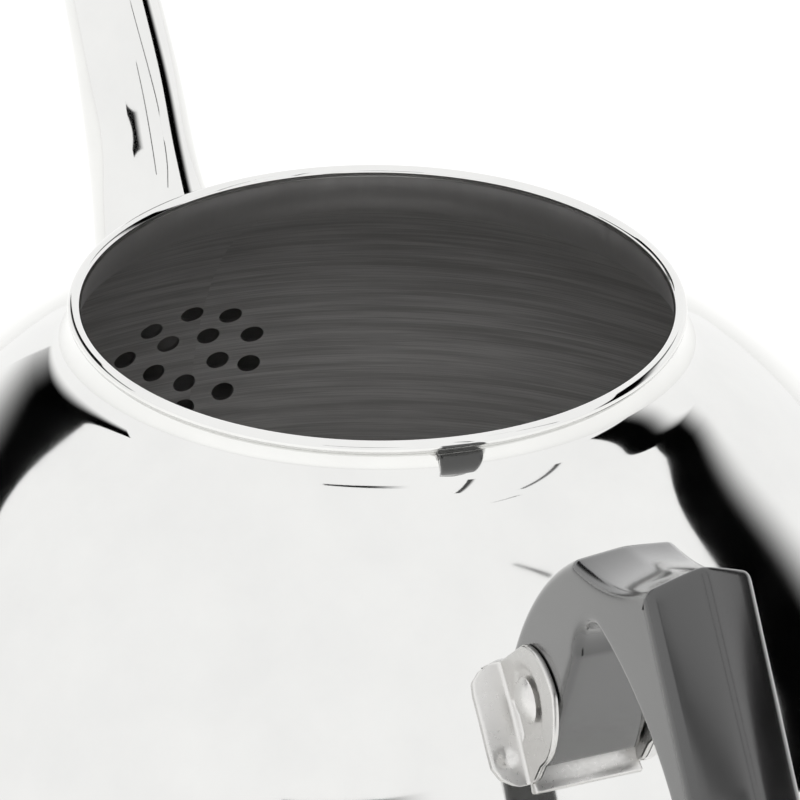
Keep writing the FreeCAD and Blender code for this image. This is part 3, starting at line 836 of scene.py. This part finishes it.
def buildGrip():
    counts = [6, 22, 18, 14, 36, 14, 36, 20, 14, 16, 2]
    side, ridge = (evenly(gripOutline(*gripCorners[name]), counts) * mm for name in ("side", "ridge"))
    kinks = {index for index, turn in enumerate(turnsOf(side)) if turn > math.radians(14)}
    inwards, limit = inwardNormals(side), insetLimit(side)
    half, edge, soft = gripSizes["half"], gripSizes["edge"], gripSizes["ridge"]
    levels = [(half, edge + 0.7 * mm)]
    levels += [(half - edge * (1 - math.cos(a)), edge * (1 - math.sin(a)))
               for a in np.radians(np.linspace(0, 90, 8))]
    levels += [(y * mm, 0.0) for y in (5.4, 3.8, 2.4, 1.5, 0.9, 0.45)]
    levels = levels + [(0.0, 0.0)] + [(-y, inset) for y, inset in levels[::-1]]
    top = math.hypot(half, soft)
    rows = []
    for y, inset in levels:
        share = (top - math.hypot(y, soft)) / (top - soft)
        share += gripSizes["crown"] * math.sin(math.pi * min(abs(y) / half, 1.0))
        loop = side + (ridge - side) * share + inwards * np.minimum(inset, limit)[:, None]
        rows.append([(x, y, z) for x, z in softened(loop, kinks, gripSizes["corner"])])
    grip = gridSurface("handleGrip", rows, closed=True)
    closeSides(grip, 1)
    closeSides(grip, -1)
    pointOutwards(grip)
    finishPiece(grip, "kettle", "phenolic", ["handle_grip"], phenolic, angle=40)


buildGrip()
print("grip moulded")


# Lid, standing beside the body: plug ring, domed lid, knob

lidLow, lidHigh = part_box("lid_shell")
lidSpot = Matrix.Translation(((lidLow.x + lidHigh.x) / 2, (lidLow.y + lidHigh.y) / 2, 0))
lidSizes = {"radius": 52.4 * mm, "plug": 48.6 * mm, "brim": 9.0 * mm, "crown": 18.5 * mm, "seat": 11.0 * mm,
            "sheet": 0.8 * mm, "screw": 2.5 * mm, "knob": 16.0 * mm, "knobTop": 41.0 * mm}


def buildLid():
    radius, plug, brim, crown = (lidSizes[name] for name in ("radius", "plug", "brim", "crown"))
    seat, sheet, screw, knob = (lidSizes[name] for name in ("seat", "sheet", "screw", "knob"))
    shell = revolved("lidShell", traced([
        (plug - 6 * mm, brim), (radius - 0.4 * mm, brim),
        arcTo((radius - 0.4 * mm, brim + 1.8 * mm), 0.95 * mm, 1),
        (plug - 2 * mm, brim + sheet + 0.2 * mm), arcTo((seat, crown), 96 * mm, 1), (screw, crown),
        (screw, crown - sheet), (seat, crown - sheet), arcTo((plug - 6 * mm, brim + 0.6 * mm), 90 * mm, -1),
    ], 1.0), 200, lidSpot, lambda a, b: 1 if (a[1] + b[1]) / 2 < crown - 0.4 * mm and a[0] < b[0] else 0)
    finishPiece(shell, "lid", "polished_steel", ["lid_shell"], polished, lathed)
    ring = revolved("lidPlug", traced([
        (plug - sheet, 0.2 * mm), arcTo((plug - sheet / 2, 0), 0.5 * mm, 1),
        arcTo((plug, 0.4 * mm), 0.5 * mm, 1), (plug, brim), (plug - 5 * mm, brim),
        (plug - 5 * mm, brim - sheet), (plug - sheet, brim - sheet)]), 160, lidSpot)
    finishPiece(ring, "lid", "polished_steel", ["lid_plug"], neckBand)
    base = crown + 1.2 * mm
    flat, rise = knob - 1.6 * mm, lidSizes["knobTop"] - base - 17.5 * mm
    knobPiece = revolved("lidKnob", traced([
        (screw, base), (seat - 2.4 * mm, base), arcTo((seat - 2 * mm, base + 7 * mm), 9 * mm, -1),
        arcTo((knob, base + 13.5 * mm), 10 * mm, -1), arcTo((flat, base + 17.5 * mm), 2.6 * mm, 1),
        arcTo((0, lidSizes["knobTop"]), (flat**2 + rise**2) / (2 * rise), 1), (0, base + 12 * mm),
        (screw, base + 12 * mm)], 3), 144, lidSpot)
    finishPiece(knobPiece, "lid", "phenolic", ["lid_knob"], phenolic, angle=35)


buildLid()
print("lid and knob turned")


# Whistle spring: a coil about the hinge pin

springLow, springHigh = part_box("hinge_spring")
springSizes = {"wire": 0.28 * mm, "turns": 7.0, "steps": 24}


def buildSpring():
    middle = (springLow + springHigh) / 2
    reach = (springHigh.x - springLow.x) / 2 - springSizes["wire"] - 0.01 * mm
    width = springHigh.y - springLow.y - 2 * springSizes["wire"]
    tree = bpy.data.node_groups.new("hingeSpring", "GeometryNodeTree")
    tree.interface.new_socket("Geometry", in_out="OUTPUT", socket_type="NodeSocketGeometry")
    wanted = {"Coil radius": reach, "Width": width, "Turns": springSizes["turns"],
              "Wire": springSizes["wire"]}
    sockets = {name: tree.interface.new_socket(name, in_out="INPUT", socket_type="NodeSocketFloat")
               for name in wanted}
    size = addNode(tree, "NodeGroupInput").outputs
    helix = addNode(tree, "GeometryNodeCurveSpiral", inputs={
        "Resolution": springSizes["steps"], "Rotations": size["Turns"], "Start Radius": size["Coil radius"],
        "End Radius": size["Coil radius"], "Height": size["Width"]})
    wire = addNode(tree, "GeometryNodeCurvePrimitiveCircle",
                   inputs={"Resolution": 12, "Radius": size["Wire"]})
    coil = addNode(tree, "GeometryNodeCurveToMesh", inputs={
        "Curve": helix.outputs[0], "Profile Curve": wire.outputs["Curve"], "Fill Caps": True})
    real = addNode(tree, "GeometryNodeRealizeInstances", inputs={0: coil.outputs[0]})
    coat = addNode(tree, "GeometryNodeSetMaterial", inputs={"Geometry": real.outputs[0], "Material": spring})
    addNode(tree, "NodeGroupOutput", inputs={"Geometry": coat.outputs[0]})
    piece = meshObject("whistleSpring", [(0, 0, 0)], [])
    modifier = piece.modifiers.new("coil", "NODES")
    modifier.node_group = tree
    for name, value in wanted.items():
        modifier[sockets[name].identifier] = value
    mesh = bpy.data.meshes.new_from_object(piece.evaluated_get(bpy.context.evaluated_depsgraph_get()))
    piece.modifiers.clear()
    piece.data = mesh
    mesh.transform(Matrix.Translation(middle) @ Matrix.Rotation(math.radians(90), 4, "X")
                   @ Matrix.Translation((0, 0, -width / 2)))
    pointOutwards(piece)
    finishPiece(piece, "kettle", "spring_steel", ["hinge_spring"], spring)


buildSpring()
print("spring wound")


# Carried-over pieces keep their shape and get their finishes

carried = {
    "base_core": aluminium, "whistle_collar": hardware, "hinge_pin": hardware, "whistle_cap": polished,
    "whistle_inner_disc": hardware, "whistle_outer_disc": hardware, "whistle_lever": hardware,
    "lever_rivets": hardware, "thumb_pad": phenolic, "knob_ferrule": polished, "knob_washer": hardware,
    "knob_screw": hardware,
}
for name, material in carried.items():
    nodes[name].data.materials.clear()
    nodes[name].data.materials.append(material)
print("carried pieces finished")


# Studio: white floor and surround, with the dark gaps that a polished body shows

scene = bpy.context.scene
scene.view_settings.view_transform = "Standard"
studio = {"floor": 3.0, "floorHeight": -0.0005, "distance": 2.2, "nearer": 0.98, "skyTop": "#ffffff",
          "sky": 1.15, "cardRows": 12, "cardColumns": 40, "fadeFrom": 0.45}


def plainPaint(tree):
    return {"Base Color": hexColour("#f4f4f3"), "Roughness": 0.8}


def cardFinish(name, code):
    # a card that only reflections see: dark, fading out to the white surround across its width
    material = bpy.data.materials.new(name)
    material.use_nodes = True
    tree = material.node_tree
    tree.nodes.clear()
    dark = addNode(tree, "ShaderNodeEmission", inputs={"Color": hexColour(code), "Strength": 1.0})
    place = addNode(tree, "ShaderNodeUVMap", {"uv_map": "lay"}).outputs["UV"]
    across = addNode(tree, "ShaderNodeSeparateXYZ", inputs={0: place}).outputs["Y"]
    fade = addNode(tree, "ShaderNodeMapRange", {"interpolation_type": "SMOOTHSTEP"},
                   {"Value": across, "From Min": studio["fadeFrom"], "From Max": 1.0}).outputs["Result"]
    clear = addNode(tree, "ShaderNodeBsdfTransparent")
    both = addNode(tree, "ShaderNodeMixShader", inputs={0: fade, 1: dark.outputs[0], 2: clear.outputs[0]})
    addNode(tree, "ShaderNodeOutputMaterial", inputs={"Surface": both.outputs[0]})
    return material


def card(name, inner, outer, material, distance):
    # a band between two lines of directions (bearing, height in degrees) seen from the kettle
    rows = []
    for share in np.linspace(0, 1, studio["cardRows"]):
        row = []
        for first, second in zip(inner, outer):
            bearing, rise = (math.radians(a + (b - a) * share) for a, b in zip(first, second))
            row.append((distance * math.cos(bearing) * math.cos(rise),
                        distance * math.sin(bearing) * math.cos(rise), distance * math.sin(rise) + rim))
        rows.append(row)
    band = gridSurface(name, rows)
    layer = band.data.uv_layers.new(name="lay")
    width, last = len(inner), studio["cardRows"] - 1
    for loop in band.data.loops:
        spot = loop.vertex_index
        layer.data[loop.index].uv = (spot % width / (width - 1), spot // width / last)
    band.data.materials.append(material)
    band.visible_camera = False
    band.visible_shadow = False
    band.visible_diffuse = False
    return band


def bowed(start, firstPull, lastPull, end):
    # directions along a line between two others, drawn towards a pull near each end
    share = np.linspace(0, 1, studio["cardColumns"])[:, None]
    first, second, third, last = (np.array(point, float) for point in (start, firstPull, lastPull, end))
    return ((1 - share)**3 * first + 3 * (1 - share)**2 * share * second
            + 3 * (1 - share) * share**2 * third + share**3 * last)


world = bpy.data.worlds.new("surround")
scene.world = world
world.use_nodes = True
world.node_tree.nodes["Background"].inputs["Color"].default_value = hexColour(studio["skyTop"])
world.node_tree.nodes["Background"].inputs["Strength"].default_value = studio["sky"]

reach, level = studio["floor"], studio["floorHeight"]
floor = meshObject("floor", [(-reach, -reach, level), (reach, -reach, level), (reach, reach, level),
                             (-reach, reach, level)], [(0, 1, 2, 3)])
floor.data.materials.append(finish("floor_matt_white", plainPaint))

# Directions of the dark gaps, each as (bearing, height): a gap fades out towards its second line
softDark = cardFinish("card_black_soft", "#030303")
softGrey = cardFinish("card_grey_soft", "#4a4a4a")
far, near = studio["distance"], studio["distance"] * studio["nearer"]
gaps = {  # each line as its start, a pull near each end, and its end
    "card_right": (((-52, 31), (-87, 48), (-92, 47), (-122, 4)), ((-50, 24), (-75, 26), (-76, 27), (-90, -8))),
    "card_left": (((2, 24), (34, 47), (17, 26), (62, 24)), ((8, 5), (24, 9), (47, 12), (62, 15))),
}
for name, (inner, outer) in gaps.items():
    card(name, bowed(*inner), bowed(*outer), softDark, far)
card("card_behind_camera", [(140, 31.5), (140, 29)], [(172, 34.8), (172, 29)], softDark, far)
seam = {"half": 1.6, "foot": 26, "tops": ((193.0, 49), (227.0, 54))}
for number, (bearing, top) in enumerate(seam["tops"]):
    left, right = bearing - seam["half"], bearing + seam["half"]
    card("card_seam_%d" % number, [(left, top), (left, seam["foot"])], [(right, top), (right, seam["foot"])],
         softGrey, near)
card("card_mark", [(-122, 62.5), (-122, 69)], [(-119.5, 62), (-120.5, 68)], softDark, near)


def addLight(name, place, target, size, power):
    lamp = bpy.data.lights.new(name, "AREA")
    lamp.size = size
    lamp.energy = power
    thing = bpy.data.objects.new(name, lamp)
    aim = (Vector(target) - Vector(place)).to_track_quat("-Z", "Y")
    thing.matrix_world = Matrix.Translation(place) @ aim.to_matrix().to_4x4()
    scene.collection.objects.link(thing)
    thing.visible_camera = False
    thing.visible_glossy = False
    return thing


addLight("soft_overhead", (-0.5, 0.5, 1.6), (0, 0, 0.1), 1.4, 9)

view = {"distance": 600 * mm, "bearing": 158.8, "rise": 27.05, "dip": 28.65, "swing": 0.42, "roll": 0.61,
        "lens": 162.0}
bearing, rise = math.radians(view["bearing"]), math.radians(view["rise"])
eye = Vector((math.cos(bearing) * math.cos(rise), math.sin(bearing) * math.cos(rise), math.sin(rise)))
cameraData = bpy.data.cameras.new("camera")
cameraData.lens = view["lens"]
cameraData.sensor_width = 36.0
cameraData.clip_start = 0.05
camera = bpy.data.objects.new("camera", cameraData)
heading = view["bearing"] + 90 - view["swing"]
camera.matrix_world = (Matrix.Translation(Vector((0, 0, rim)) + eye * view["distance"])
                       @ Matrix.Rotation(math.radians(heading), 4, "Z")
                       @ Matrix.Rotation(math.radians(90 - view["dip"]), 4, "X")
                       @ Matrix.Rotation(math.radians(view["roll"]), 4, "Z"))
scene.collection.objects.link(camera)
scene.camera = camera
print("studio and camera set")
